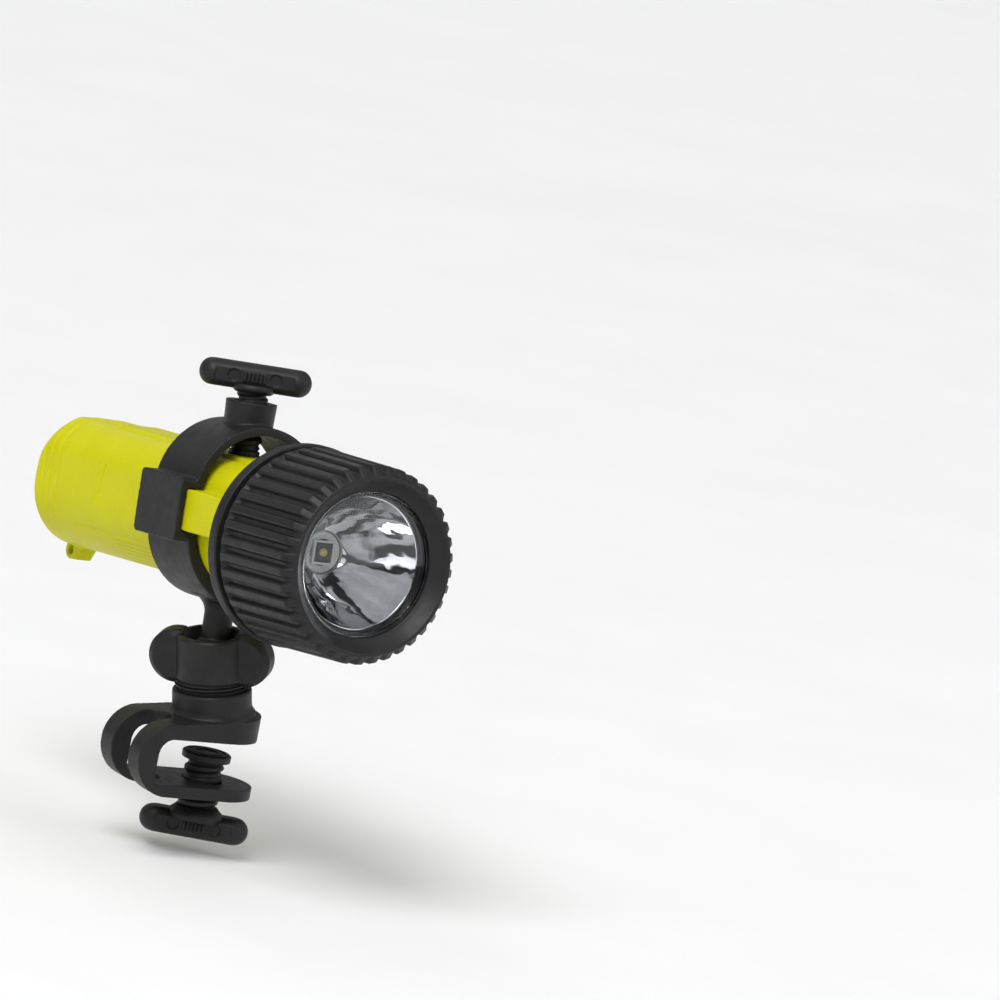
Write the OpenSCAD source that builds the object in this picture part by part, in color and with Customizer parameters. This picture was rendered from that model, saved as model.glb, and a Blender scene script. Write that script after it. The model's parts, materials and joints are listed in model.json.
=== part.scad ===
// Torch-style cap lamp held in a ball-jointed clamp for the brim of a hard hat.
// The frame sits on the clamp: the origin is on the underside of the upper jaw,
// on the axis of the clamp screw.  +Z is normal to the brim, the throat opens
// towards +X, and the lamp shines roughly towards -Y.

/* [Clamp] */
// Width of the clamp across its two ribs
clamp_w = 22; // [20:1:24]
// Height of the throat between the jaws
throat_h = 11.8; // [10:0.2:13]
// Depth of the throat behind the screw axis
throat_d = 19.2; // [18:0.2:22]
// Thickness of the lower arm
arm_t = 3.1; // [3:0.1:4]
// Thickness of the upper jaw at its back end
jaw_t = 3.9; // [3.6:0.1:5]
// Width of each of the two C-shaped ribs
rib_w = 6.4; // [5:0.2:7]
// Space left for the brim between the jaw and the clamp pad
brim_gap = 4.6; // [4.4:0.1:6]
// Backward tilt of the swivel cup on the upper jaw
cup_tilt = 12; // [8:1:14]

/* [Swivel] */
// Outer radius of the cup that the wing nut screws into
cup_r = 10; // [9.8:0.1:10.6]
// Height of the ball's centre above the brim along the swivel axis
ball_z = 19.2; // [19:0.1:20]
// Radius of the ball under the collar
ball_r = 6.4; // [6.3:0.1:6.5]
// Turn of the lamp about the swivel axis
aim_pan = 3.9; // [-180:0.1:180]
// Sideways lean of the lamp
aim_lean = 13.6; // [0:0.1:14]
// Raise of the beam
aim_raise = 5.3; // [-8:0.1:8]

/* [Collar] */
// Height of the lamp's axis above the ball
lamp_z = 33.7; // [33.5:0.1:35]
// Width of the collar along the lamp
collar_w = 19.8; // [18:0.2:22]
// Outer radius of the collar's round ends
collar_r = 18.8; // [18.6:0.1:19.4]
// Half the length of the collar's straight sides
collar_straight = 4; // [3.8:0.1:4.4]
// Radius of the screws that press on the lamp
top_screw_r = 4; // [3.5:0.1:4.2]

/* [Lamp] */
// Distance from the lens face back to the middle of the collar
lens_k = 62.9; // [62:0.1:66]
// Width of the battery tube
tube_w = 31; // [30.6:0.1:31.2]
// Height of the battery tube
tube_h = 32.6; // [32:0.1:33]
// Distance from the lens face back to the end of the tube
tube_end_k = 134.8; // [134:0.1:136]
// Diameter of each battery cell
cell_d = 26.2; // [25.5:0.1:26.2]
// Length of each battery cell
cell_l = 50; // [49:0.1:50]

/* [Bezel] */
// Outer radius of the flange at the back of the bezel
flange_r = 25.6; // [25.5:0.1:26.5]
// Distance from the lens face back to the back of the flange
flange_k = 32.9; // [32.8:0.1:33]
// Number of grip ribs
grip_n = 38; // [30:1:44]
// Radius of the clear opening in front of the lens
mouth_r = 18.3; // [18:0.1:18.5]

/* [Hidden] */
$fn = 64;
fit = 0.06;
small = 0.3;
// Clamp and swivel
arm_reach = 1.8;
jaw_reach = 0.8;
cup_x = 0.4;
cup_floor = 6.4;
cup_top = 12.1;
nut_bottom = 14.2;
nut_top = 26.2;
nut_r = 9;
nut_bore_r = 7.9;
ear_reach = 8.9;
ear_r = 6.9;
ear_t = 7.4;
ear_turn = -43;
nut_mouth_r = 5.8;
nut_rim_r = 7.1;
nut_thread_r = 8.6;
pocket_r = ball_r + 0.08;
seat_r = 7.1;
// Screws
clamp_screw_r = 5;
knob_l = 27.6;
clamp_knob_t = 6.6;
clamp_knob_w = 9;
top_knob_l = 28.4;
top_knob_t = 6.8;
top_knob_w = 7.8;
pad_t = 2;
pad_r = 6.2;
pin_r = 1.8;
pin_h = 1.1;
clamp_knob_z = -20.2;
top_knob_z = lamp_z + 34.5;
rail_top = 18.2;
top_pad_t = 1.2;
top_pad_gap = 0.05;
// Collar
collar_z = lamp_z + 3.7;
collar_wall = 2.2;
post_r = 3.7;
boss_top = lamp_z + 31.8;
lug_x = 22.8;
lug_z = lamp_z + 3.9;
lug_half = 8;
channel_half = 5.5;
channel_x = 21;
channel_wall = 2;
key_half = 5.2;
key_x = 20.7;
// Lamp, measured as distances behind the lens face
tube_drop = -1.2;
tube_top_corner = 10;
tube_low_corner = 14.5;
tube_front_k = 33.8;
shoulder_k = 38.8;
tail_r = 17.8;
neck_k = 25.6;
neck_r = 19.32;
bore_r = 19.4;
cell_bore_r = cell_d / 2 + 0.3;
well_r = 10.2;
well_k = 127.4;
tail_plate_k = tube_end_k - 3.4;
plate_t = 0.4;
cell_k = 26.4;
cell_gap = 0.1;
nub_h = 1.5;
nub_r = 3.2;
spring_k = cell_k + 2 * cell_l + cell_gap;
strip_w = 5;
strip_t = 0.4;
strip_y = tube_drop - cell_bore_r - 0.6;
switch_gap = 0.9;
o_ring_k = 30.6;
lanyard_y = 16.4;
lanyard_k = 133.2;
lanyard_r = 1.2;
o_ring_r = 0.98;
// Lamp module and bezel
lens_r = 19.2;
lens_t = 2;
seal_t = 1;
seal_in_r = 16.6;
dish_r = 16.5;
dish_k = lens_t + seal_t;
dish_wall = 1.1;
hole_r = 5.2;
hole_k = 20.6;
dish_f = (dish_r * dish_r - hole_r * hole_r) / (4 * (hole_k - dish_k));
module_r = 18.9;
module_in_r = 17.75;
module_k = neck_k - switch_gap;
board_k = 21.15;
sink_k = 22.1;
driver_k = 23.05;
contact_k = driver_k + 0.65;
wall_k = module_k - 1;
module_key_x = 17;
front_k = -4;
core_front_r = 23.6;
core_back_r = 23.9;
grip_proud = 1.4;
groove_k = 27.4;
flange_front_k = 29.3;

// ---- frames ----

// Swivel axis, with z measured from the underside of the upper jaw.
module swivel_frame() {
    translate([cup_x, 0, 0]) rotate([0, -cup_tilt, 0]) children();
}

// Centre of the ball, turned the way the lamp is aimed: z is up the post and
// the beam points to -y.
module aim_frame() {
    swivel_frame()
        translate([0, 0, ball_z])
            rotate([-aim_raise, aim_lean, aim_pan])
                children();
}

// Lamp axis, with z running back from the lens face.
module lamp_frame() {
    aim_frame()
        translate([0, -lens_k, lamp_z])
            rotate([-90, 0, 0])
                children();
}

// ---- shared shapes ----

module ring(r_out, r_in, h) {
    difference() {
        cylinder(r = r_out, h = h);
        translate([0, 0, -1]) cylinder(r = r_in, h = h + 2);
    }
}

// Upright slot outline with round ends, in the x-y plane.
module slot_2d(r, low, high) {
    translate([0, low]) circle(r = r);
    translate([0, high]) circle(r = r);
    translate([-r, low]) square([2 * r, high - low]);
}

// Extrudes an x-z outline along y, centred on y = 0.
module along_y(w) {
    rotate([90, 0, 0]) linear_extrude(height = w, center = true) children();
}

// Bar knob with round ends and softened edges.
module bar_knob(l, w, t) {
    big = 2.2;
    mid = 0.7;
    half = [[0, 0], [w / 2 - big, 0], [w / 2 - mid, mid], [w / 2, big],
            [w / 2, t - big], [w / 2 - mid, t - mid], [w / 2 - big, t], [0, t]];
    for (side = [-1, 1])
        translate([side * (l - w) / 2, 0, 0]) rotate_extrude() polygon(half);
    rotate([90, 0, 90])
        translate([0, 0, (w - l) / 2])
            linear_extrude(height = l - w)
                polygon(concat(half, [for (p = half) [-p[0], t - p[1]]]));
}

// Rectangle with round corners, centred on the origin.
module rounded_box(w, h, r) {
    square([w - 2 * r, h], center = true);
    square([w, h - 2 * r], center = true);
    for (sx = [-1, 1], sy = [-1, 1])
        translate([sx * (w / 2 - r), sy * (h / 2 - r)]) circle(r = r);
}

// ---- clamp ----

module clamp_profile() {
    back_r = (throat_h + jaw_t + arm_t) / 2;
    back_x = -throat_d - 5.4 + back_r;
    mid_z = (jaw_t - throat_h - arm_t) / 2;
    jaw_end = clamp_w / 2 + jaw_reach;
    difference() {
        union() {
            translate([back_x, mid_z]) circle(r = back_r);
            translate([back_x, mid_z - back_r]) square([clamp_w / 2 + arm_reach - back_x, 2 * back_r]);
            polygon([[back_x, jaw_t], [jaw_end, jaw_t + 2.9], [jaw_end, 0], [back_x, 0]]);
        }
        translate([4 - throat_d, -4]) circle(r = 4);
        translate([4 - throat_d, -throat_h]) square([60, throat_h]);
        translate([-throat_d, -throat_h]) square([10, throat_h - 4]);
    }
}

// Outline from above, with its round end centred at x.
module clamp_plan(x) {
    translate([x, 0]) circle(r = clamp_w / 2);
    translate([x - 40, -clamp_w / 2]) square([40, clamp_w]);
}

module clamp_frame() {
    slot_w = clamp_w - 2 * rib_w;
    color([0.13, 0.13, 0.14])
    difference() {
        union() {
            intersection() {
                along_y(clamp_w) clamp_profile();
                union() {
                    translate([0, 0, -throat_h / 2]) linear_extrude(height = 40) clamp_plan(jaw_reach);
                    translate([0, 0, -40]) linear_extrude(height = 40 - throat_h / 2) clamp_plan(arm_reach);
                }
            }
            swivel_frame() cup_outside();
        }
        // slot between the two ribs
        translate([-12.4 - slot_w / 2, 0, -40]) cylinder(r = slot_w / 2, h = 80);
        translate([-52.4 - slot_w / 2, -slot_w / 2, -40]) cube([40, slot_w, 80]);
        // cup for the wing nut
        swivel_frame() translate([0, 0, cup_floor]) cylinder(r = nut_thread_r + fit, h = 20);
        // hole for the clamp screw
        translate([0, 0, -throat_h - 10]) cylinder(r = clamp_screw_r + fit, h = 12);
    }
}

module cup_outside() {
    intersection() {
        rotate_extrude()
            polygon([[0, 1], [cup_r + 1, 1], [cup_r + 1, 5.6], [cup_r + 0.3, 6.6], [cup_r, 7.6],
                     [cup_r, cup_top - 0.4], [cup_r - 0.4, cup_top], [0, cup_top]]);
        translate([0, 0, 1]) cylinder(r = cup_r + 2, h = 20);
    }
}

module clamp_screw_pad() {
    color([0.16, 0.16, 0.17])
    translate([0, 0, -brim_gap - pad_t])
        difference() {
            union() {
                cylinder(r = pad_r, h = pad_t - 0.4);
                cylinder(r = pad_r - 0.4, h = pad_t);
            }
            translate([0, 0, -1]) cylinder(r = pin_r + fit, h = 1 + pin_h + 0.2);
        }
}

module clamp_screw() {
    tip = -brim_gap - pad_t - small;
    color([0.13, 0.13, 0.14]) {
        translate([0, 0, clamp_knob_z - 1]) cylinder(r = clamp_screw_r, h = tip - clamp_knob_z + 1);
        translate([0, 0, tip - 1]) cylinder(r = pin_r, h = 1 + small + pin_h);
        translate([0, 0, clamp_knob_z - 0.6]) cylinder(r1 = 7, r2 = 5.4, h = 2.2);
        translate([0, 0, clamp_knob_z - clamp_knob_t])
            rotate([0, 0, -27]) bar_knob(knob_l, clamp_knob_w, clamp_knob_t);
    }
}

// ---- swivel ----

module ball_seat() {
    color([0.2, 0.2, 0.21])
    swivel_frame()
        difference() {
            translate([0, 0, cup_floor + 0.1]) cylinder(r = seat_r, h = 9.4);
            translate([0, 0, ball_z]) sphere(r = pocket_r);
        }
}

module pressure_ring() {
    color([0.2, 0.2, 0.21])
    swivel_frame()
        difference() {
            translate([0, 0, ball_z + 0.8]) cylinder(r = nut_bore_r - 0.1, h = 2.9);
            translate([0, 0, ball_z]) sphere(r = pocket_r);
            translate([0, 0, ball_z]) cylinder(r = nut_mouth_r, h = 10);
        }
}

module wing_nut() {
    color([0.13, 0.13, 0.14])
    swivel_frame()
        difference() {
            union() {
                translate([0, 0, nut_bottom]) cylinder(r1 = nut_r - 0.5, r2 = nut_r, h = 1);
                translate([0, 0, nut_bottom + 1]) cylinder(r = nut_r, h = nut_top - nut_bottom - 1.6);
                translate([0, 0, nut_top - 0.6]) cylinder(r1 = nut_r, r2 = nut_r - 0.6, h = 0.6);
                translate([0, 0, cup_floor + 0.9]) cylinder(r = nut_thread_r, h = nut_bottom - cup_floor);
                rotate([0, 0, ear_turn])
                    for (side = [-1, 1])
                        translate([side * ear_reach, 0, 20.2]) nut_ear();
            }
            translate([0, 0, 1]) cylinder(r = nut_bore_r, h = ball_z + 3.8 - 1);
            translate([0, 0, ball_z]) cylinder(r = nut_mouth_r, h = 4);
            translate([0, 0, ball_z + 3.8])
                cylinder(r1 = nut_mouth_r, r2 = nut_rim_r, h = nut_top - ball_z - 3.8);
            translate([0, 0, nut_top - 0.01]) cylinder(r = nut_rim_r, h = 5);
        }
}

module nut_ear() {
    edge = 1.4;
    rotate([90, 0, 0])
        translate([0, 0, -ear_t / 2]) {
            cylinder(r1 = ear_r - edge, r2 = ear_r, h = edge);
            translate([0, 0, edge]) cylinder(r = ear_r, h = ear_t - 2 * edge);
            translate([0, 0, ear_t - edge]) cylinder(r1 = ear_r, r2 = ear_r - edge, h = edge);
        }
}

// ---- collar ----

module collar_outline() {
    slot_2d(collar_r, collar_z - collar_straight, collar_z + collar_straight);
}

module collar_hole() {
    in_r = collar_r - collar_wall;
    slot_2d(in_r, lamp_z - tube_drop - tube_h / 2 - small + in_r, collar_z + collar_straight);
}

module collar() {
    color([0.13, 0.13, 0.14])
    aim_frame() {
        difference() {
            union() {
                along_y(collar_w) collar_outline();
                for (side = [-1, 1]) lug_outside(side);
                boss_outside();
                post();
            }
            along_y(collar_w + 2) collar_hole();
            for (side = [-1, 1]) lug_channel(side);
            translate([0, 0, lamp_z]) cylinder(r = top_screw_r + fit, h = 60);
        }
        sphere(r = ball_r);
    }
}

module lug_outside(side) {
    x0 = collar_r - 4;
    translate([side > 0 ? x0 : -lug_x, 0, lug_z])
        rotate([90, 0, 90])
            linear_extrude(height = lug_x - x0) rounded_box(collar_w, 2 * lug_half, 1.4);
}

module lug_channel(side) {
    x0 = 10;
    translate([side > 0 ? x0 : -channel_x, -collar_w / 2 - 1, lug_z - channel_half])
        cube([channel_x - x0, collar_w + 1 - channel_wall, 2 * channel_half]);
}

module boss_outside() {
    translate([0, 0, collar_z + collar_straight + collar_r - 4])
        cylinder(r1 = 6.1, r2 = 6.5, h = boss_top - (collar_z + collar_straight + collar_r - 4));
}

module post() {
    foot = collar_z - collar_straight - collar_r;
    rotate_extrude()
        difference() {
            square([8.2, foot + 1.6]);
            translate([post_r, -1]) square([10, foot - 3.2 + 1]);
            translate([post_r + 4.6, foot - 3.2]) circle(r = 4.6);
        }
}

module top_screw_pad() {
    z0 = lamp_z + rail_top + top_pad_gap;
    color([0.16, 0.16, 0.17])
    aim_frame()
        translate([0, 0, z0])
            difference() {
                cylinder(r = top_screw_r - 0.1, h = top_pad_t);
                translate([0, 0, 0.4]) cylinder(r = pin_r + fit, h = 2);
            }
}

module top_screw() {
    tip = lamp_z + rail_top + top_pad_gap + top_pad_t + 0.1;
    color([0.13, 0.13, 0.14])
    aim_frame() {
        translate([0, 0, tip]) cylinder(r = top_screw_r, h = top_knob_z - tip + 1);
        translate([0, 0, tip - 0.8]) cylinder(r = pin_r, h = 1);
        translate([0, 0, top_knob_z - 0.5]) cylinder(r1 = 5.2, r2 = 5.8, h = 1);
        translate([0, 0, top_knob_z]) rotate([0, 0, -34]) bar_knob(top_knob_l, top_knob_w, top_knob_t);
    }
}

// ---- battery tube ----

// Section of the tube, rounder below than above.
module tube_section() {
    intersection() {
        rounded_box(tube_w, tube_h, tube_top_corner);
        translate([-tube_w, -tube_h]) square([2 * tube_w, tube_h + 1]);
    }
    intersection() {
        rounded_box(tube_w, tube_h, tube_low_corner);
        translate([-tube_w, 0]) square([2 * tube_w, tube_h]);
    }
}

module tube_outside() {
    key_k = tube_front_k + 0.3;
    intersection() {
        translate([0, tube_drop, shoulder_k - 1])
            linear_extrude(height = tube_end_k - shoulder_k + 1) tube_section();
        tail_round();
    }
    // shoulder under the bezel flange
    translate([0, 0, tube_front_k]) cylinder(r = 18.2, h = 1.2);
    translate([0, tube_drop / 3, tube_front_k + 1])
        cylinder(r1 = 18, r2 = tube_w / 2, h = shoulder_k - tube_front_k);
    // rail on top that the screw presses on, and the keys at the sides
    translate([-6.5, -rail_top, shoulder_k - 3]) cube([13, 8, 79]);
    for (side = [-1, 1])
        translate([side > 0 ? 8 : -key_x, lamp_z - lug_z - key_half, key_k])
            cube([key_x - 8, 2 * key_half, lens_k + collar_w / 2 - channel_wall - small - key_k]);
    lanyard_tab();
}

// Envelope that rounds the end of the tube.
module tail_round() {
    edge = 5.4;
    arc = [for (a = [0 : 10 : 90]) [tail_r - edge + edge * cos(a), tube_end_k - edge + edge * sin(a)]];
    start = [[0, shoulder_k - 2], [tail_r + 0.6, shoulder_k - 2], [tail_r + 0.6, 110]];
    translate([0, tube_drop, 0])
        rotate_extrude() polygon(concat(start, arc, [[0, tube_end_k]]));
}

module lanyard_tab() {
    tab_t = 4.6;
    eye_r = 2.4;
    translate([-tab_t / 2, 0, 0]) rotate([0, 90, 0]) linear_extrude(height = tab_t) {
        translate([-lanyard_k, lanyard_y]) circle(r = eye_r);
        polygon([[-121, 12], [-121, 14], [-126.5, lanyard_y + eye_r - 0.4], [-lanyard_k, lanyard_y + eye_r],
                 [-lanyard_k - eye_r, lanyard_y], [-lanyard_k - 1.2, 12]]);
    }
}

module lamp_tube() {
    color([0.86, 0.92, 0.1])
    lamp_frame()
        difference() {
            union() {
                tube_outside();
                translate([0, 0, neck_k]) cylinder(r = neck_r, h = tube_front_k - neck_k + 0.2);
            }
            // bore for the cells and the narrower well for their spring
            translate([0, tube_drop, neck_k - 1]) cylinder(r = cell_bore_r, h = well_k - neck_k + 1);
            translate([0, tube_drop, neck_k]) cylinder(r = well_r, h = tail_plate_k + plate_t + 0.1 - neck_k);
            // groove for the contact strip
            translate([-strip_w / 2 - 0.1, strip_y - 0.1, neck_k - 1])
                cube([strip_w + 0.2, 6, well_k - neck_k + 1]);
            // o-ring groove
            translate([0, 0, o_ring_k - 1.2]) ring(neck_r + 1, neck_r - 2, 2.4);
            // slots for the module's keys
            for (side = [-1, 1])
                translate([side * module_key_x - 1.2, -1.5, neck_k - 1]) cube([2.4, 3, 3.8]);
            // lanyard hole
            translate([-10, lanyard_y, lanyard_k]) rotate([0, 90, 0]) cylinder(r = lanyard_r, h = 20);
        }
}

module neck_o_ring() {
    color([0.05, 0.05, 0.05])
    lamp_frame() translate([0, 0, o_ring_k])
        rotate_extrude() translate([bore_r - fit - o_ring_r, 0]) circle(r = o_ring_r);
}

module contact_strip() {
    inner_y = tube_drop - well_r + 0.5;
    bend_k = well_k - 0.6;
    color([0.8, 0.65, 0.3])
    lamp_frame() translate([-strip_w / 2, 0, 0]) {
        translate([0, strip_y, cell_k]) cube([strip_w, strip_t, bend_k - cell_k]);
        translate([0, strip_y, bend_k]) cube([strip_w, inner_y + strip_t - strip_y, strip_t]);
        translate([0, inner_y, bend_k]) cube([strip_w, strip_t, tail_plate_k - bend_k]);
    }
}

module tail_plate() {
    color([0.8, 0.65, 0.3])
    lamp_frame()
        translate([0, tube_drop, tail_plate_k]) cylinder(r = well_r - 0.1, h = plate_t);
}

// Conical contact spring, drawn as rings of wire that widen towards the plate.
module tail_spring() {
    turns = 3;
    step = (tail_plate_k - spring_k) / turns;
    color([0.75, 0.75, 0.76])
    lamp_frame() translate([0, tube_drop, spring_k])
        for (i = [0 : turns - 1])
            translate([0, 0, i * step])
                ring(4.5 + 2 * i, 2.1 + 2 * i, step);
}

module battery_cell(k) {
    color([0.75, 0.76, 0.78])
    lamp_frame() translate([0, tube_drop, k]) {
        translate([0, 0, nub_h]) cylinder(r = cell_d / 2, h = cell_l - nub_h);
        cylinder(r = nub_r, h = nub_h + 0.2);
    }
}

// ---- lamp module ----

// Paraboloid radius at a distance k behind the lens face.
function dish_r_at(k) = sqrt(dish_r * dish_r - 4 * dish_f * (k - dish_k));

module reflector() {
    steps = 16;
    rim_k = dish_k + 1.2;
    dish_ks = [for (i = [0 : steps]) dish_k + (hole_k - dish_k) * i / steps];
    inner = [for (k = dish_ks) [dish_r_at(k), k]];
    outer_ks = [for (i = [steps : -1 : 0]) if (dish_ks[i] > rim_k) dish_ks[i]];
    outer = [for (k = outer_ks) [dish_r_at(k) + dish_wall, k]];
    rim = [[dish_r_at(rim_k) + dish_wall, rim_k], [module_r - 0.2, rim_k], [module_r - 0.2, dish_k]];
    color([0.85, 0.86, 0.88])
    lamp_frame() rotate_extrude() polygon(concat(inner, outer, rim));
}

module led_package() {
    color([0.9, 0.88, 0.6])
    lamp_frame() {
        translate([-3, -3, board_k - 1.1]) cube([6, 6, 1.05]);
        translate([0, 0, board_k - 1.1])
            difference() {
                sphere(r = 2);
                translate([-3, -3, 0.5]) cube(6);
            }
    }
}

module led_board() {
    color([0.1, 0.3, 0.15])
    lamp_frame() translate([0, 0, board_k]) cylinder(r = 9, h = 0.9);
}

module heat_sink() {
    color([0.7, 0.7, 0.72])
    lamp_frame() translate([0, 0, sink_k]) cylinder(r = module_in_r - 0.1, h = 0.9);
}

module driver_board() {
    color([0.1, 0.3, 0.15])
    lamp_frame() translate([0, 0, driver_k]) cylinder(r = module_in_r - 0.2, h = 0.6);
}

module module_housing() {
    color([0.12, 0.12, 0.12])
    lamp_frame() {
        difference() {
            translate([0, 0, dish_k + 1.25]) cylinder(r = module_r, h = module_k - dish_k - 1.25);
            translate([0, 0, dish_k]) cylinder(r = module_in_r, h = wall_k - dish_k);
            translate([0, tube_drop, wall_k - 1]) cylinder(r = 2.8, h = 10);
            translate([-2.2, strip_y - 0.5, wall_k - 1]) cube([4.4, 2, 10]);
        }
        for (side = [-1, 1])
            translate([side * module_key_x - 1, -1.3, module_k - 0.5]) cube([2, 2.6, 2.5]);
    }
}

module front_contact() {
    color([0.8, 0.65, 0.3])
    lamp_frame()
        translate([0, tube_drop, contact_k]) cylinder(r = 2.5, h = cell_k - switch_gap - contact_k);
}

module strip_contact() {
    color([0.8, 0.65, 0.3])
    lamp_frame()
        translate([-2, strip_y, contact_k]) cube([4, 1.3, cell_k - switch_gap - contact_k]);
}

// ---- bezel ----

module bezel_core() {
    rotate_extrude()
        polygon([
            [mouth_r, -0.2], [mouth_r, -0.7], [mouth_r + 0.6, -1.2],
            [22.3, front_k], [core_front_r - 0.4, front_k],
            [core_front_r + 0.2, front_k + 0.7], [core_front_r + 0.3, front_k + 2],
            [core_back_r, groove_k], [core_back_r - 0.9, groove_k + 0.4], [core_back_r - 0.9, flange_front_k],
            [flange_r - 0.3, flange_front_k], [flange_r, flange_front_k + 0.3],
            [flange_r, flange_k - 0.3], [flange_r - 0.3, flange_k], [bore_r, flange_k], [bore_r, -0.2]
        ]);
}

// Outer envelope that trims the grip ribs.
module grip_envelope() {
    rotate_extrude()
        polygon([
            [20, front_k + 0.2], [core_front_r + 0.1, front_k + 0.2],
            [core_front_r + grip_proud - 0.4, front_k + 1.2], [core_front_r + grip_proud, front_k + 2.6],
            [core_back_r + grip_proud, groove_k - 1.6], [core_back_r + grip_proud - 0.6, groove_k - 0.5],
            [core_back_r, groove_k], [20, groove_k]
        ]);
}

module bezel() {
    color([0.13, 0.13, 0.14])
    lamp_frame() {
        bezel_core();
        intersection() {
            grip_envelope();
            for (i = [0 : grip_n - 1])
                rotate([0, 0, i * 360 / grip_n])
                    translate([core_back_r + grip_proud - 2, 0, front_k])
                        linear_extrude(height = groove_k - front_k)
                            polygon([[-2, -1.4], [2.2, -0.8], [2.2, 0.8], [-2, 1.4]]);
        }
    }
}

module lens() {
    color([0.85, 0.9, 0.95, 0.4])
    lamp_frame() cylinder(r = lens_r, h = lens_t - 0.05);
}

module lens_seal() {
    color([0.05, 0.05, 0.05])
    lamp_frame() translate([0, 0, lens_t]) ring(lens_r, seal_in_r, seal_t - 0.05);
}

clamp_frame();
clamp_screw_pad();
clamp_screw();
ball_seat();
pressure_ring();
wing_nut();
collar();
top_screw_pad();
top_screw();
lamp_tube();
neck_o_ring();
contact_strip();
tail_plate();
tail_spring();
battery_cell(cell_k);  // battery_cell_front
battery_cell(cell_k + cell_l + cell_gap);  // battery_cell_rear
module_housing();
reflector();
led_package();
led_board();
heat_sink();
driver_board();
front_contact();
strip_contact();
bezel();
lens();
lens_seal();
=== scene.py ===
"""Miner's cap lamp: the looks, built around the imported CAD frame.

Shapes are worked out in millimetres in a local frame, and are then laid into the row frame. The local
frames are the clamp's own, the swivel's (z up the cup's axis), the aim (z up the top screw, with its origin
in the ball) and the lamp's (z back from the lens face, y down).
"""
import json
import math

import bmesh
import bpy
import numpy as np
from mathutils import Matrix, Vector


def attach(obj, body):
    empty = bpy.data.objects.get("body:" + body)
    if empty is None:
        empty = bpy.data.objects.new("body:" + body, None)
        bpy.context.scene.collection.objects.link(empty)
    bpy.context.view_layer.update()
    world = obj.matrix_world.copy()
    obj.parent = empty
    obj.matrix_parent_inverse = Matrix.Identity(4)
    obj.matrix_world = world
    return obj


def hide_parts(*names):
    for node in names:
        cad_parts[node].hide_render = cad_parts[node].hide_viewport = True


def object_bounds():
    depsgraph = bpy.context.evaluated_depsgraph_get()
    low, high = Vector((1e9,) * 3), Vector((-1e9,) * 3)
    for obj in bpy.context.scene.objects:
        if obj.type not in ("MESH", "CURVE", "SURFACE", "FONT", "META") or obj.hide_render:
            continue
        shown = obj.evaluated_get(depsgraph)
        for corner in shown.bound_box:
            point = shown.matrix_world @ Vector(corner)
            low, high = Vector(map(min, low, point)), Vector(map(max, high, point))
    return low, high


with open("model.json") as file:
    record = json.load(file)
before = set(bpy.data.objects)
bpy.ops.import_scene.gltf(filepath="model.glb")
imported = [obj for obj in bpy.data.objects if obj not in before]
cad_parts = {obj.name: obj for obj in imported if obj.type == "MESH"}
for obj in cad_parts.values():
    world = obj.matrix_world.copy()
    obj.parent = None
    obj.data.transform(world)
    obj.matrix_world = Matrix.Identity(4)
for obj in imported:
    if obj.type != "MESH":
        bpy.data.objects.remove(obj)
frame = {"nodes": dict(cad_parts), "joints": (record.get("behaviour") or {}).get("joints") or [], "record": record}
CAD_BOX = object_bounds()
MM = 0.001
TAU = 2 * math.pi


# ---- frames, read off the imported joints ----

JOINTS = {joint["name"]: joint for joint in frame["joints"]}


def basis_matrix(x, y, z, origin):
    """A frame in millimetres with these axes, at an origin in metres."""
    turn = Matrix((x, y, z)).transposed().to_4x4()
    return Matrix.Translation(origin) @ turn @ Matrix.Scale(MM, 4)


def local_box(node, basis):
    """The lowest and highest corners of a CAD node in a local frame, in millimetres."""
    inverse = basis.inverted()
    points = np.array([inverse @ v.co for v in frame["nodes"][node].data.vertices])
    return points.min(0), points.max(0)


BALL = Vector(JOINTS["lamp_tilt"]["pos_m"])
CUP_AXIS = Vector(JOINTS["lamp_pan"]["axis"])
AIM_X = Vector(JOINTS["lamp_tilt"]["axis"])
AIM_Y = Vector(JOINTS["bezel_travel"]["axis"])
AIM_Z = Vector(JOINTS["top_screw_travel"]["axis"])

CLAMP = Matrix.Scale(MM, 4)
CUP_X = Vector((0, 1, 0)).cross(CUP_AXIS)
SWIVEL = basis_matrix(CUP_X, Vector((0, 1, 0)), CUP_AXIS, BALL)
AIM = basis_matrix(AIM_X, AIM_Y, AIM_Z, BALL)
LENS_LOW, LENS_HIGH = local_box("lens", AIM)
LENS_FACE = Vector(((LENS_LOW[0] + LENS_HIGH[0]) / 2, LENS_LOW[1], (LENS_LOW[2] + LENS_HIGH[2]) / 2))
LAMP = AIM @ Matrix.Translation(LENS_FACE) @ Matrix.Rotation(-math.pi / 2, 4, "X")


# ---- mesh helpers ----

def mesh_object(name, verts, faces, basis=CLAMP, smooth=True):
    """A new object from points in a local frame's millimetres."""
    mesh = bpy.data.meshes.new(name)
    mesh.from_pydata([basis @ Vector(v) for v in verts], [], faces)
    bm = bmesh.new()
    bm.from_mesh(mesh)
    bmesh.ops.remove_doubles(bm, verts=bm.verts, dist=2e-7)
    bmesh.ops.recalc_face_normals(bm, faces=bm.faces)
    bm.to_mesh(mesh)
    bm.free()
    obj = bpy.data.objects.new(name, mesh)
    bpy.context.scene.collection.objects.link(obj)
    if smooth:
        mesh.shade_smooth()
    return obj


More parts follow.
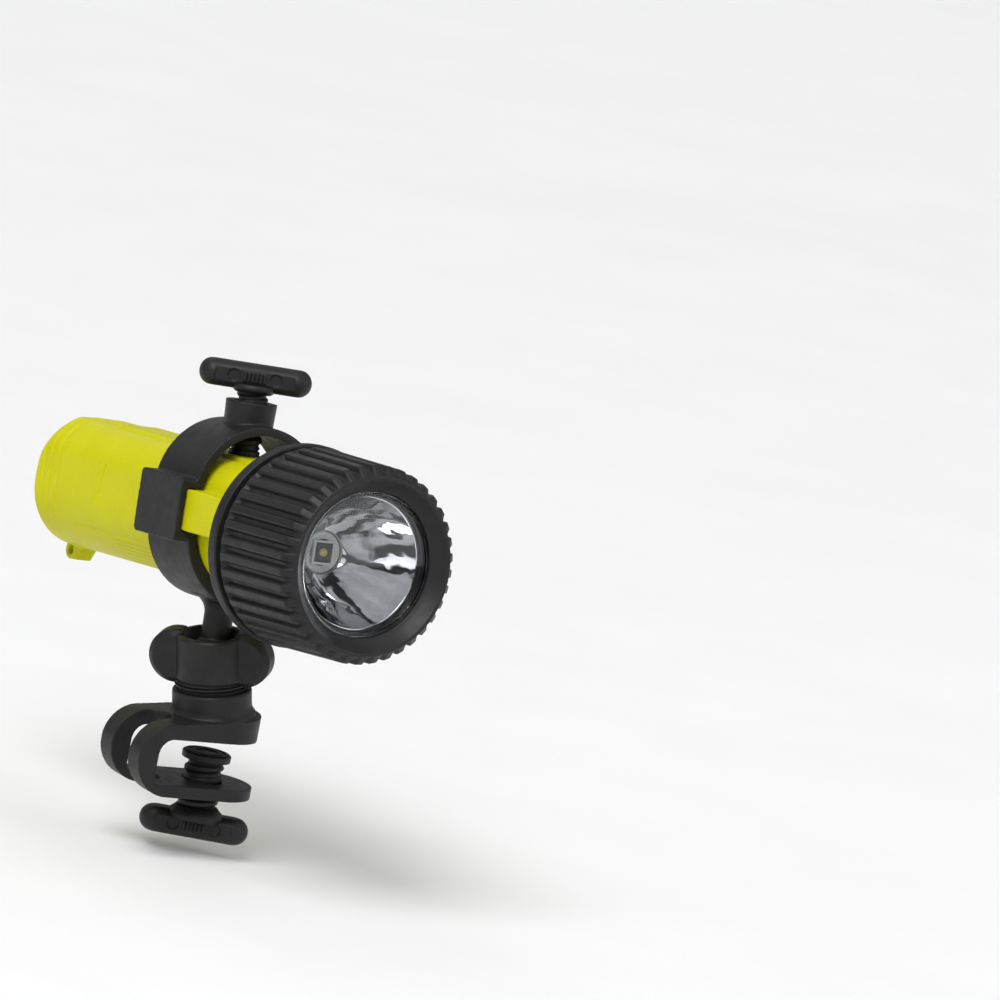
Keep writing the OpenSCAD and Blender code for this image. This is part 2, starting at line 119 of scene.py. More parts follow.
def rounded(corners, steps=5, closed=True):
    """An outline with its corners rounded. Each corner is (x, y) or (x, y, radius)."""
    points = []
    count = len(corners)
    for i, corner in enumerate(corners):
        here = Vector(corner[:2])
        radius = corner[2] if len(corner) > 2 else 0
        if radius == 0 or (not closed and i in (0, count - 1)):
            points.append(tuple(here))
            continue
        to_last = Vector(corners[i - 1][:2]) - here
        to_next = Vector(corners[(i + 1) % count][:2]) - here
        half = to_last.angle(to_next) / 2
        reach = min(radius / math.tan(half), 0.49 * to_last.length, 0.49 * to_next.length)
        start, end = here + to_last.normalized() * reach, here + to_next.normalized() * reach
        for k in range(steps + 1):
            t = k / steps
            points.append(tuple(start.lerp(here, t).lerp(here.lerp(end, t), t)))
    return points


def lathe(outline, steps=96, vary=None, stretch=0):
    """Points and faces of a closed outline of (radius, z) turned about z.

    vary(radius, z, angle) may change each radius. stretch pulls the two halves apart along x.
    """
    angles = [TAU * i / steps for i in range(steps)]
    shifts = [0.0] * steps
    if stretch:
        quarter = steps // 4
        first = [(TAU * i / steps, stretch / 2) for i in range(-quarter, quarter + 1)]
        second = [(a + math.pi, -shift) for a, shift in first]
        angles, shifts = zip(*(first + second))
    verts = []
    for angle, shift in zip(angles, shifts):
        for radius, z in outline:
            r = vary(radius, z, angle) if vary else radius
            verts.append((r * math.cos(angle) + shift, r * math.sin(angle), z))
    rings, count = len(angles), len(outline)
    faces = []
    for i in range(rings):
        for j in range(count):
            k, m = (i + 1) % rings, (j + 1) % count
            faces.append((i * count + j, i * count + m, k * count + m, k * count + j))
    return verts, faces


def smoothstep(low, high, value):
    t = min(max((value - low) / (high - low), 0), 1)
    return t * t * (3 - 2 * t)


def screw_thread(radius, depth, pitch, low, high, core=0, steps=72):
    """Points and faces of a right-hand thread on a rod or tube, tapered over half a turn at its ends."""
    per_pitch = 16
    rows = round((high - low) / pitch * per_pitch)
    lead = pitch / 2

    def ridge(z, angle):
        along = (z / pitch - angle / TAU) % 1
        crest = 1 - smoothstep(0.14, 0.42, abs(along - 0.5))
        fade = smoothstep(low, low + lead, z) * (1 - smoothstep(high - lead, high, z))
        return radius - depth * (1 - crest * fade)

    side = [(radius, low + (high - low) * i / rows) for i in range(rows + 1)]
    outline = [(core, low)] + side + [(core, high)]
    return lathe(outline, steps, lambda r, z, a: ridge(z, a) if r == radius else r)


def evaluated(obj):
    """Bakes an object's modifiers into its mesh."""
    graph = bpy.context.evaluated_depsgraph_get()
    graph.update()
    mesh = bpy.data.meshes.new_from_object(obj.evaluated_get(graph))
    old = obj.data
    obj.modifiers.clear()
    obj.data = mesh
    bpy.data.meshes.remove(old)
    return obj


def cut(obj, tools, operation="DIFFERENCE"):
    """Cuts the tools from obj, or joins them to it, and removes the tools."""
    for tool in tools:
        boolean = obj.modifiers.new("cut", "BOOLEAN")
        boolean.operation = operation
        boolean.solver = "EXACT"
        boolean.object = tool
        evaluated(obj)
        bpy.data.objects.remove(tool)
    return obj


def soften(obj, voxel, rounds):
    """Remeshes a closed shape and relaxes it, which rounds its edges as a mould does."""
    remesh = obj.modifiers.new("remesh", "REMESH")
    remesh.mode = "VOXEL"
    remesh.voxel_size = voxel * MM
    relax = obj.modifiers.new("relax", "SMOOTH")
    relax.factor = 0.5
    relax.iterations = rounds
    evaluated(obj)
    obj.data.shade_smooth()
    return obj


def node_copy(node, name):
    """A new object with a CAD node's mesh, welded."""
    source = frame["nodes"][node]
    obj = bpy.data.objects.new(name, source.data.copy())
    bpy.context.scene.collection.objects.link(obj)
    obj.data.materials.clear()
    bm = bmesh.new()
    bm.from_mesh(obj.data)
    bmesh.ops.remove_doubles(bm, verts=bm.verts, dist=1e-6)
    bm.to_mesh(obj.data)
    bm.free()
    return obj


def bevelled(node, name, width):
    """A CAD node's mesh with its sharp edges rounded over."""
    obj = node_copy(node, name)
    bevel = obj.modifiers.new("bevel", "BEVEL")
    bevel.width = width * MM
    bevel.segments = 3
    bevel.limit_method = "ANGLE"
    bevel.angle_limit = math.radians(35)
    evaluated(obj)
    obj.data.shade_smooth()
    return obj


def joined(obj, *others):
    """Merges other objects into obj, without welding them."""
    bm = bmesh.new()
    bm.from_mesh(obj.data)
    for other in others:
        bm.from_mesh(other.data)
        bpy.data.objects.remove(other)
    bm.to_mesh(obj.data)
    bm.free()
    obj.data.shade_smooth()
    return obj


def displaced(obj, basis, height):
    """Moves each point along its normal by height(points) millimetres, in a local frame."""
    mesh = obj.data
    spots = np.empty(len(mesh.vertices) * 3)
    normals = np.empty(len(mesh.vertices) * 3)
    mesh.vertices.foreach_get("co", spots)
    mesh.vertex_normals.foreach_get("vector", normals)
    spots = spots.reshape(-1, 3)
    inverse = np.array(basis.inverted())
    local = spots @ inverse[:3, :3].T + inverse[:3, 3]
    spots += normals.reshape(-1, 3) * (height(local) * MM)[:, None]
    mesh.vertices.foreach_set("co", spots.ravel())
    mesh.update()
    return obj


def box(name, low, high, basis=CLAMP):
    """A block between two corners."""
    xs, ys, zs = zip(low, high)
    verts = [(x, y, z) for x in xs for y in ys for z in zs]
    faces = [(0, 1, 3, 2), (4, 6, 7, 5), (0, 4, 5, 1), (2, 3, 7, 6), (0, 2, 6, 4), (1, 5, 7, 3)]
    return mesh_object(name, verts, faces, basis, smooth=False)


def turned(name, outline, basis, steps=96):
    """A solid of revolution about z. Its open outline of (radius, z) starts and ends on the axis."""
    verts, faces = lathe(outline, steps)
    return mesh_object(name, verts, faces, basis)


def finish_piece(obj, body, material, *nodes):
    """Gives a piece its material, its body and the CAD nodes that it stands for."""
    obj.data.materials.clear()
    obj.data.materials.append(MATERIALS[material])
    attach(obj, body)
    if nodes:
        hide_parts(*nodes)
    return obj


# ---- materials ----

def new_material(name):
    material = bpy.data.materials.new(name)
    material.use_nodes = True
    tree = material.node_tree
    return material, tree, tree.nodes["Principled BSDF"]


def noise(tree, scale, detail=3.0, stretch=(1, 1, 1), rough=0.5):
    """Fractal noise in the row frame. scale is in features per millimetre."""
    coords = tree.nodes.new("ShaderNodeTexCoord")
    mapping = tree.nodes.new("ShaderNodeMapping")
    mapping.inputs["Scale"].default_value = stretch
    texture = tree.nodes.new("ShaderNodeTexNoise")
    texture.inputs["Scale"].default_value = scale / MM
    texture.inputs["Detail"].default_value = detail
    texture.inputs["Roughness"].default_value = rough
    tree.links.new(coords.outputs["Object"], mapping.inputs["Vector"])
    tree.links.new(mapping.outputs["Vector"], texture.inputs["Vector"])
    return texture.outputs["Fac"]


def ramp(tree, value, stops):
    """Maps a value through (position, colour or number) stops."""
    node = tree.nodes.new("ShaderNodeValToRGB")
    elements = node.color_ramp.elements
    while len(elements) < len(stops):
        elements.new(0.5)
    for element, (position, colour) in zip(elements, stops):
        element.position = position
        element.color = (*colour, 1) if hasattr(colour, "__len__") else (colour, colour, colour, 1)
    tree.links.new(value, node.inputs["Fac"])
    return node.outputs["Color"]


def bump(tree, bsdf, *layers):
    """Stacks bump layers, each (height, strength, depth in millimetres)."""
    normal = None
    for height, strength, depth in layers:
        node = tree.nodes.new("ShaderNodeBump")
        node.inputs["Strength"].default_value = strength
        node.inputs["Distance"].default_value = depth * MM
        tree.links.new(height, node.inputs["Height"])
        if normal:
            tree.links.new(normal, node.inputs["Normal"])
        normal = node.outputs["Normal"]
    tree.links.new(normal, bsdf.inputs["Normal"])


def mix_colour(tree, mask, a, b):
    """Blends two colour outputs or constants by a mask."""
    node = tree.nodes.new("ShaderNodeMix")
    node.data_type = "RGBA"
    tree.links.new(mask, node.inputs["Factor"])
    for socket, value in ((node.inputs[6], a), (node.inputs[7], b)):
        if hasattr(value, "links"):
            tree.links.new(value, socket)
        else:
            socket.default_value = (*value, 1)
    return node.outputs[2]


def moulded_plastic(name, dark, light, roughness, grain=2.2, grain_depth=0.04, specular=0.3):
    """Spark-textured moulding: cloudy colour with fine specks, patchy sheen and a fine grain."""
    material, tree, bsdf = new_material(name)
    cloud = ramp(tree, noise(tree, 0.12, 4), [(0.35, dark), (0.68, light)])
    specks = ramp(tree, noise(tree, grain * 1.7, 2), [(0.54, 0.0), (0.7, 0.7)])
    pale = [channel * 1.1 + 0.007 for channel in light]
    tree.links.new(mix_colour(tree, specks, cloud, pale), bsdf.inputs["Base Color"])
    patchy = ramp(tree, noise(tree, 0.35, 5), [(0.3, roughness - 0.06), (0.7, roughness + 0.06)])
    tree.links.new(patchy, bsdf.inputs["Roughness"])
    bsdf.inputs["Specular IOR Level"].default_value = specular
    bump(tree, bsdf, (noise(tree, grain, 3), 0.7, grain_depth), (noise(tree, 0.25, 2), 0.05, 0.2))
    return material


def metal(name, colour, roughness, stretch=(1, 1, 1), depth=0.01):
    material, tree, bsdf = new_material(name)
    tone = ramp(tree, noise(tree, 0.5, 4, stretch), [(0.3, [c * 0.85 for c in colour]), (0.7, colour)])
    tree.links.new(tone, bsdf.inputs["Base Color"])
    bsdf.inputs["Metallic"].default_value = 1.0
    patchy = ramp(tree, noise(tree, 1.0, 5, stretch), [(0.3, roughness * 0.8), (0.7, roughness * 1.3)])
    tree.links.new(patchy, bsdf.inputs["Roughness"])
    bump(tree, bsdf, (noise(tree, 2.5, 3, stretch), 0.3, depth))
    return material


def make_yellow():
    """Bright yellow plastic with a little light under its skin."""
    material = moulded_plastic(
        "yellow_plastic", (0.555, 0.54, 0.002), (0.59, 0.575, 0.004), 0.42, 1.6, 0.015, 0.12)
    bsdf = material.node_tree.nodes["Principled BSDF"]
    bsdf.inputs["Subsurface Weight"].default_value = 0.08
    bsdf.inputs["Subsurface Radius"].default_value = (0.001, 0.001, 0.0003)
    return material


def make_lens():
    material, tree, bsdf = new_material("lens_clear")
    bsdf.inputs["Base Color"].default_value = (0.97, 0.985, 1.0, 1)
    bsdf.inputs["Transmission Weight"].default_value = 1.0
    bsdf.inputs["IOR"].default_value = 1.45
    haze = ramp(tree, noise(tree, 0.08, 3), [(0.4, 0.0), (0.75, 0.03)])
    tree.links.new(haze, bsdf.inputs["Roughness"])
    bump(tree, bsdf, (noise(tree, 0.05, 1), 0.04, 0.1))
    return material


def make_mirror():
    """Vacuum-metallised plastic, a little wavy."""
    material, tree, bsdf = new_material("reflector_mirror")
    tone = ramp(tree, noise(tree, 0.15, 3), [(0.3, (0.5, 0.5, 0.51)), (0.7, (0.66, 0.66, 0.67))])
    tree.links.new(tone, bsdf.inputs["Base Color"])
    bsdf.inputs["Metallic"].default_value = 1.0
    haze = ramp(tree, noise(tree, 0.4, 4), [(0.35, 0.02), (0.75, 0.07)])
    tree.links.new(haze, bsdf.inputs["Roughness"])
    bump(tree, bsdf, (noise(tree, 0.1, 2), 0.6, 0.7), (noise(tree, 0.35, 1), 0.2, 0.1))
    return material


def make_led():
    """White ceramic, with a yellow phosphor spot in the middle of the package."""
    material, tree, bsdf = new_material("led_ceramic")
    tone = ramp(tree, noise(tree, 1.5, 3), [(0.3, (0.66, 0.67, 0.66)), (0.7, (0.8, 0.81, 0.79))])
    coords = tree.nodes.new("ShaderNodeTexCoord")
    mapping = tree.nodes.new("ShaderNodeMapping")
    low, high = local_box("led_package", LAMP)
    centre = LAMP @ Vector((low + high) / 2)
    reach = 1.15 * MM
    mapping.inputs["Scale"].default_value = [1 / reach] * 3
    mapping.inputs["Location"].default_value = -centre / reach
    spot = tree.nodes.new("ShaderNodeTexGradient")
    spot.gradient_type = "SPHERICAL"
    tree.links.new(coords.outputs["Object"], mapping.inputs["Vector"])
    tree.links.new(mapping.outputs["Vector"], spot.inputs["Vector"])
    inside = ramp(tree, spot.outputs["Fac"], [(0.02, 0.0), (0.1, 1.0)])
    tree.links.new(mix_colour(tree, inside, tone, (0.75, 0.6, 0.08)), bsdf.inputs["Base Color"])
    bsdf.inputs["Roughness"].default_value = 0.35
    bump(tree, bsdf, (noise(tree, 4, 2), 0.2, 0.01))
    return material


MATERIALS = {
    "clamp_plastic": moulded_plastic(
        "clamp_plastic", (0.009, 0.009, 0.0095), (0.014, 0.014, 0.0145), 0.48),
    "seat_plastic": moulded_plastic(
        "seat_plastic", (0.03, 0.03, 0.033), (0.045, 0.045, 0.048), 0.4, 1.5, 0.02),
    "bezel_rubber": moulded_plastic(
        "bezel_rubber", (0.009, 0.009, 0.01), (0.014, 0.014, 0.015), 0.45, 3.0, 0.025, 0.3),
    "seal_rubber": moulded_plastic(
        "seal_rubber", (0.006, 0.006, 0.007), (0.01, 0.01, 0.01), 0.35, 1.0, 0.01),
    "module_plastic": moulded_plastic(
        "module_plastic", (0.012, 0.012, 0.013), (0.02, 0.02, 0.021), 0.4, 2.0, 0.02),
    "board_green": moulded_plastic(
        "board_green", (0.008, 0.05, 0.02), (0.012, 0.08, 0.03), 0.3, 1.0, 0.02),
    "yellow_plastic": make_yellow(),
    "lens_clear": make_lens(),
    "reflector_mirror": make_mirror(),
    "led_ceramic": make_led(),
    "sink_aluminium": metal("sink_aluminium", (0.78, 0.79, 0.81), 0.3),
    "contact_brass": metal("contact_brass", (0.8, 0.58, 0.25), 0.28),
    "spring_steel": metal("spring_steel", (0.74, 0.74, 0.76), 0.22),
    "cell_sleeve": metal("cell_sleeve", (0.55, 0.56, 0.6), 0.34),
}

for part in frame["record"]["subparts"]:
    cad_node = frame["nodes"][part["node"]]
    cad_node.data.materials.clear()
    cad_node.data.materials.append(MATERIALS[part["material_slot"]])


# ---- camera, lights and floor ----

def make_camera():
    """The photograph's view: a long lens from the lamp's left front, with the hat's room on the right."""
    distance, azimuth, elevation = 5.2, math.radians(-27), math.radians(16)
    lens_mm, left_shift, drop = 748.8, 0.07232, 0.05835
    toward = Vector((math.sin(azimuth) * math.cos(elevation), -math.cos(azimuth) * math.cos(elevation),
                     math.sin(elevation)))
    right = Vector((math.cos(azimuth), math.sin(azimuth), 0))
    up = toward.cross(right)
    tilt = Matrix((CUP_X, Vector((0, 1, 0)), CUP_AXIS)).transposed()
    toward, right, up = tilt @ toward, tilt @ right, tilt @ up
    camera = bpy.data.objects.new("camera", bpy.data.cameras.new("camera"))
    camera.data.lens = lens_mm
    camera.data.clip_end = 200
    spot = toward * distance + right * left_shift + up * drop
    camera.matrix_world = Matrix.Translation(spot) @ Matrix((right, up, toward)).transposed().to_4x4()
    bpy.context.scene.collection.objects.link(camera)
    bpy.context.scene.camera = camera


def make_light(name, kind, where, size, power):
    """A light that looks at the lamp. size is a width in metres, or an angle for the sun."""
    light = bpy.data.lights.new(name, kind)
    if kind == "SUN":
        light.angle = size
    else:
        light.shape = "DISK"
        light.size = size
    light.energy = power
    source = bpy.data.objects.new(name, light)
    source.location = where
    source.rotation_mode = "QUATERNION"
    source.rotation_quaternion = (Vector((0, 0, 0.04)) - Vector(where)).to_track_quat("-Z", "Y")
    bpy.context.scene.collection.objects.link(source)


def make_floor():
    """A wide pale floor just under the lowest point that the clamp's knob reaches."""
    half = 60.0
    low = CAD_BOX[0].z - 0.0042
    floor = mesh_object("floor", [(-half, -half, 0), (half, -half, 0), (half, half, 0), (-half, half, 0)],
                        [(0, 1, 2, 3)], Matrix.Translation((0, 0, low)), smooth=False)
    material, tree, bsdf = new_material("floor_paper")
    tone = ramp(tree, noise(tree, 0.02, 3), [(0.3, 0.86), (0.7, 0.88)])
    tree.links.new(tone, bsdf.inputs["Base Color"])
    bsdf.inputs["Roughness"].default_value = 0.9
    bsdf.inputs["Specular IOR Level"].default_value = 0.1
    floor.data.materials.append(material)


def make_world():
    """A studio of bright soft panels with dim gaps between them, for the mirror to show."""
    world = bpy.data.worlds.new("studio")
    world.use_nodes = True
    tree = world.node_tree
    coords = tree.nodes.new("ShaderNodeTexCoord")
    split = tree.nodes.new("ShaderNodeSeparateXYZ")
    tree.links.new(coords.outputs["Generated"], split.inputs["Vector"])
    tone = ramp(tree, split.outputs["Z"], [
        (0.0, (0.06, 0.06, 0.065)), (0.16, (0.1, 0.1, 0.105)), (0.24, (0.75, 0.76, 0.77)),
        (0.42, (0.9, 0.9, 0.91)), (0.5, (0.45, 0.45, 0.46)), (0.6, (1.0, 1.0, 1.0)),
        (1.0, (1.0, 1.0, 1.0))])
    panels = tree.nodes.new("ShaderNodeTexNoise")
    panels.inputs["Scale"].default_value = 2.6
    panels.inputs["Detail"].default_value = 1.0
    tree.links.new(coords.outputs["Generated"], panels.inputs["Vector"])
    gaps = ramp(tree, panels.outputs["Fac"], [(0.44, 0.0), (0.53, 1.0)])
    background = tree.nodes["Background"]
    tree.links.new(mix_colour(tree, gaps, (0.05, 0.05, 0.055), tone), background.inputs["Color"])
    background.inputs["Strength"].default_value = 1.25
    bpy.context.scene.world = world


make_camera()
make_world()
make_light("sun", "SUN", (-0.9, -0.6, 1.6), 0.5, 1.5)
make_light("key", "AREA", (-0.9, -1.1, 1.3), 0.7, 6)
make_light("fill", "AREA", (1.2, -1.3, 0.7), 0.8, 4)
make_floor()
bpy.context.scene.view_settings.view_transform = "Standard"


# ---- clamp ----

def turned_basis(basis, degrees):
    return basis @ Matrix.Rotation(math.radians(degrees), 4, "Z")


def bar_knob(name, length, width, thick, low, basis):
    """Bar knob with round ends and, on both long sides, a sunk panel with two dimples and a few ribs."""
    middle = low + thick / 2
    reach = thick * 0.46
    arc = [math.pi * i / 20 - math.pi / 2 for i in range(21)]
    rim = [(width / 2 - reach + reach * math.cos(a), middle + thick / 2 * math.sin(a)) for a in arc]
    verts, faces = lathe([(0, low)] + rim + [(0, low + thick)], 64, stretch=length - width)
    knob = mesh_object(name, verts, faces, basis)
    tools = []
    for side in (-1, 1):
        face = side * width / 2
        panel = sorted((face - side * 0.4, face + side * 1))
        tools.append(box("panel", (4.2 - length / 2, panel[0], middle - thick * 0.33),
                         (length / 2 - 4.2, panel[1], middle + thick * 0.33), basis))
        for spot in (-5.3, 5.3):
            dimple = basis @ Matrix.Translation((spot, face - side * 0.9, middle))
            dimple = dimple @ Matrix.Rotation(-side * math.pi / 2, 4, "X")
            tools.append(turned("dimple", [(0, 0), (1.5, 0), (1.85, 2), (0, 2)], dimple, 40))
    cut(knob, tools)
    ribs = []
    for side in (-1, 1):
        face = side * (width / 2 - 0.3)
        for i in range(6):
            x = -2.5 + i
            low_corner = (x - 0.3, face - 0.4, middle - 1.2)
            high_corner = (x + 0.3, face + 0.25, middle + 1.2)
            ribs.append(box("rib", low_corner, high_corner, basis))
    joined(knob, *ribs)
    return soften(knob, 0.15, 3)


def make_clamp():
    body = soften(node_copy("clamp_frame", "clamp_frame_moulded"), 0.22, 5)
    finish_piece(body, "clamp", "clamp_plastic", "clamp_frame")
    low, high = local_box("clamp_screw", CLAMP)
    shoulder = high[2] - 1.4
    screw = bar_knob("clamp_screw_turned", 27.6, 9, 6.6, low[2], turned_basis(CLAMP, -27))
    hub_top = low[2] + 8.2
    hub = turned("hub", [(0, low[2] + 5)] + rounded([
        (7.2, low[2] + 5), (7.2, low[2] + 6.3), (5.7, hub_top - 0.6, 0.8),
        (5.2, hub_top, 0.3)], 5, closed=False) + [(0, hub_top)], CLAMP)
    verts, faces = screw_thread(5, 0.75, 3, low[2] + 6, shoulder)
    thread = mesh_object("thread", verts, faces)
    pin = turned("pin", [(0, shoulder - 1), (1.8, shoulder - 1)] + rounded([
        (1.8, shoulder), (1.8, high[2], 0.3), (0, high[2])], 3, closed=False)[1:], CLAMP, 48)
    finish_piece(joined(screw, hub, thread, pin), "clamp_screw", "clamp_plastic", "clamp_screw")
    low, high = local_box("clamp_screw_pad", CLAMP)
    pad = turned("clamp_pad_ridged", rounded([
        (0, low[2] + 1.2), (1.86, low[2] + 1.2), (1.86, low[2], 0.2), (6.2, low[2], 0.3),
        (6.2, high[2] - 0.4, 0.3), (5.6, high[2], 0.3), (4.9, high[2], 0.1), (4.6, high[2] - 0.3, 0.1),
        (4.2, high[2] - 0.3, 0.1), (3.9, high[2], 0.1), (3.1, high[2], 0.1), (2.8, high[2] - 0.3, 0.1),
        (0, high[2] - 0.3)], 3), CLAMP)
    finish_piece(pad, "clamp_pad", "clamp_plastic", "clamp_screw_pad")


def make_swivel():
    thread_low = local_box("wing_nut", SWIVEL)[0][2] + 5.2
    body = soften(node_copy("wing_nut", "wing_nut_moulded"), 0.22, 7)
    verts, faces = screw_thread(9.35, 0.7, 0.95, thread_low, thread_low + 2.4, core=8.2, steps=96)
    thread = mesh_object("thread", verts, faces, SWIVEL)
    finish_piece(joined(body, thread), "wing_nut", "clamp_plastic", "wing_nut")
    seat = soften(node_copy("ball_seat", "ball_seat_moulded"), 0.2, 3)
    finish_piece(seat, "seat", "seat_plastic", "ball_seat")
    ring = soften(node_copy("pressure_ring", "pressure_ring_moulded"), 0.15, 3)
    finish_piece(ring, "nut_ring", "seat_plastic", "pressure_ring")


def make_collar():
    body = soften(node_copy("collar", "collar_moulded"), 0.24, 5)
    finish_piece(body, "collar", "clamp_plastic", "collar")
    low, high = local_box("top_screw", AIM)
    thick = 6.8
    knob_low = high[2] - thick
    screw = bar_knob("top_screw_turned", 28.4, 7.8, thick, knob_low, turned_basis(AIM, -34))
    hub = turned("hub", [(0, knob_low - 0.6)] + rounded([
        (4.6, knob_low - 0.6, 0.3), (5.6, knob_low + 0.3, 0.4), (5.8, knob_low + 1.5)], 4, closed=False)
        + [(0, knob_low + 1.5)], AIM)
    verts, faces = screw_thread(4, 0.6, 2.5, low[2] + 0.8, knob_low + 1)
    thread = mesh_object("thread", verts, faces, AIM)
    pin = turned("pin", [(0, low[2]), (1.8, low[2]), (1.8, low[2] + 2), (0, low[2] + 2)], AIM, 48)
    finish_piece(joined(screw, hub, thread, pin), "top_screw", "clamp_plastic", "top_screw")
    pad = bevelled("top_screw_pad", "top_pad_moulded", 0.15)
    finish_piece(pad, "top_pad", "clamp_plastic", "top_screw_pad")


make_clamp()
make_swivel()
make_collar()


# ---- battery tube ----

def bell(value, centre, width):
    return np.exp(-((value - centre) / width) ** 2)


def tube_relief(points):
    """Moulded details of the tube: tail lines, a slanted mark on each side, creases and grip lines."""
    x, y, z = points.T
    tube_middle, inside_r, mark_middle, mark_k = -1.2, 14.2, -3.8, 102.8
    outside = np.hypot(x, y - tube_middle) > inside_r
    relief = np.zeros(len(points))
    upper = 1 / (1 + np.exp((y - 7) * 1.5))
    for spot in (130.4, 127.2, 123.6):
        relief -= 0.3 * bell(z, spot + 0.007 * (y + 2) ** 2, 0.45) * upper
    slant = z - mark_k - 0.205 * (y + 3.7)
    mark = (np.abs(x) > 13) / (1 + np.exp((np.abs(y - mark_middle) - 4.9) * 4))
    relief -= 0.7 * bell(slant, 0, 0.42) * mark
    along = 1 / (1 + np.exp(np.abs(z - 93) - 22))
    relief -= 0.3 * bell(y, 8.0, 0.5) * along
    beside_rail = (y < -12) / (1 + np.exp(np.abs(z - 80) * 2 - 72))
    relief -= 0.25 * bell(np.abs(x), 7.2, 0.5) * beside_rail
    near = 1 / (1 + np.exp(np.abs(z - 86) - 12))
    relief += 0.12 * (np.sin(y * TAU / 0.95) - 1) * near * (y > 9) * (y < 14)
    return relief * outside


def make_tube():
    tube = node_copy("lamp_tube", "lamp_tube_moulded")
    profile = [(15.25, 118), (15.25, 127.6), (19.8, 130.6), (19.8, 118)]
    verts = [(x, y, z) for x in (-3, 3) for y, z in profile]
    faces = [(0, 1, 2, 3), (4, 7, 6, 5)] + [(i, (i + 1) % 4, (i + 1) % 4 + 4, i + 4) for i in range(4)]
    cut(tube, [mesh_object("tab_front", verts, faces, LAMP)])
    soften(tube, 0.26, 9)
    displaced(tube, LAMP, tube_relief)
    finish_piece(tube, "lamp", "yellow_plastic", "lamp_tube")
    ring = local_box("neck_o_ring", LAMP)
    radius, middle = ring[1][0] - 0.98, (ring[0][2] + ring[1][2]) / 2
    around = [TAU * i / 24 for i in range(24)]
    section = [(radius + 0.97 * math.cos(angle), middle + 0.97 * math.sin(angle)) for angle in around]
    verts, faces = lathe(section, 128)
    finish_piece(mesh_object("o_ring_round", verts, faces, LAMP), "lamp", "seal_rubber", "neck_o_ring")


def make_cell(node):
    """A plain C cell: sleeve with crimped ends, a seal ring and a positive nub."""
    low, high = local_box(node, LAMP)
    axis = LAMP @ Matrix.Translation(((low[0] + high[0]) / 2, (low[1] + high[1]) / 2, low[2]))
    radius, length = (high[0] - low[0]) / 2, high[2] - low[2]
    outline = [(0, 0)] + rounded([
        (3.2, 0, 0.5), (3.3, 1.3, 0.3), (7.2, 1.5, 0.3), (7.4, 1.9, 0.1), (8.6, 1.9, 0.1), (8.8, 1.5, 0.2),
        (radius, 1.5, 0.9), (radius, 3.4, 0.3), (radius - 0.35, 4.0, 0.3), (radius, 4.6, 0.3),
        (radius, length - 2, 0.3), (radius - 0.2, length - 1.4, 0.3), (radius, length - 0.9, 0.2),
        (radius - 0.3, length, 0.3), (9, length, 0.2), (8.8, length - 0.3, 0.2)], 4, closed=False)
    cell = turned(node + "_turned", outline + [(0, length - 0.3)], axis, 128)
    finish_piece(cell, "lamp", "cell_sleeve", node)


def make_spring():
    """Conical compression spring of round wire with flat end turns."""
    low, high = local_box("tail_spring", LAMP)
    wire, turns, per_turn = 0.5, 4.0, 48
    height = high[2] - low[2] - 2 * wire
    centre_y = (low[1] + high[1]) / 2
    small, big = 4.0, (high[0] - low[0]) / 2 - wire
    verts, faces = [], []
    count = int(turns * per_turn)
    for i in range(count + 1):
        t = i / count
        angle = turns * TAU * t
        radius = small + (big - small) * t
        rise = smoothstep(0.12, 0.9, t) * height
        spoke = Vector((math.cos(angle), math.sin(angle), 0))
        centre = spoke * radius + Vector((0, centre_y, low[2] + wire + rise))
        for j in range(12):
            a = TAU * j / 12
            verts.append(centre + spoke * wire * math.cos(a) + Vector((0, 0, wire * math.sin(a))))
    for i in range(count):
        for j in range(12):
            k = (j + 1) % 12
            faces.append((i * 12 + j, i * 12 + k, i * 12 + 12 + k, i * 12 + 12 + j))
    faces.append(tuple(range(12)))
    faces.append(tuple(reversed(range(count * 12, count * 12 + 12))))
    spring = mesh_object("tail_spring_wound", verts, faces, LAMP)
    finish_piece(spring, "lamp", "spring_steel", "tail_spring")


make_tube()
make_cell("battery_cell_front")
make_cell("battery_cell_rear")
make_spring()
finish_piece(bevelled("contact_strip", "contact_strip_bent", 0.08), "lamp", "contact_brass",
             "contact_strip")
finish_piece(bevelled("tail_plate", "tail_plate_stamped", 0.1), "lamp", "contact_brass",
             "tail_plate")


# ---- bezel and light engine ----

GRIP_RIBS = 38


